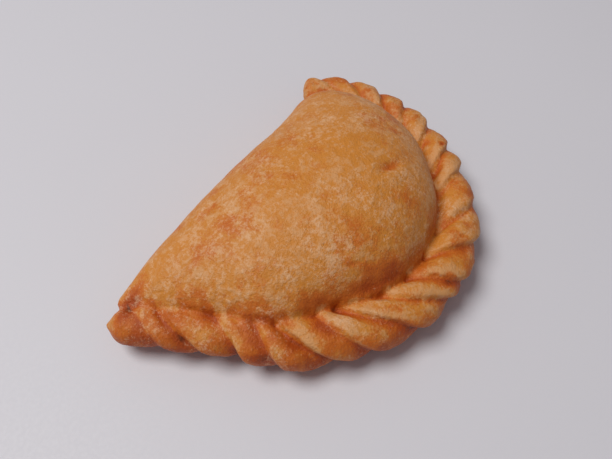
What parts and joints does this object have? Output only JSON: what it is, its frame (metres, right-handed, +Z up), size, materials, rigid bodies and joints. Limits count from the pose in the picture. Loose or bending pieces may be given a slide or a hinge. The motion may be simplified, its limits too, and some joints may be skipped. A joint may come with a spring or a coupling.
{
  "type": "empanada",
  "caption": "Fried half-moon filled pastry with a full domed pillow of dough and a hand-twisted rope edge, resting flat; a ready-to-eat snack.",
  "frame": {"origin": "centre of the bounding box in plan, at the level of the flat spot that the empanada rests on", "axes": "+X along the straight fold, the curved rope edge toward -Y, +Z up"},
  "size_m": [0.1319, 0.0887, 0.036],
  "materials": {
    "fried_dough": "satin, floury fried dough"
  },
  "bodies": {
    "root": {"empanada": "fried_dough"}
  },
  "joints": []
}
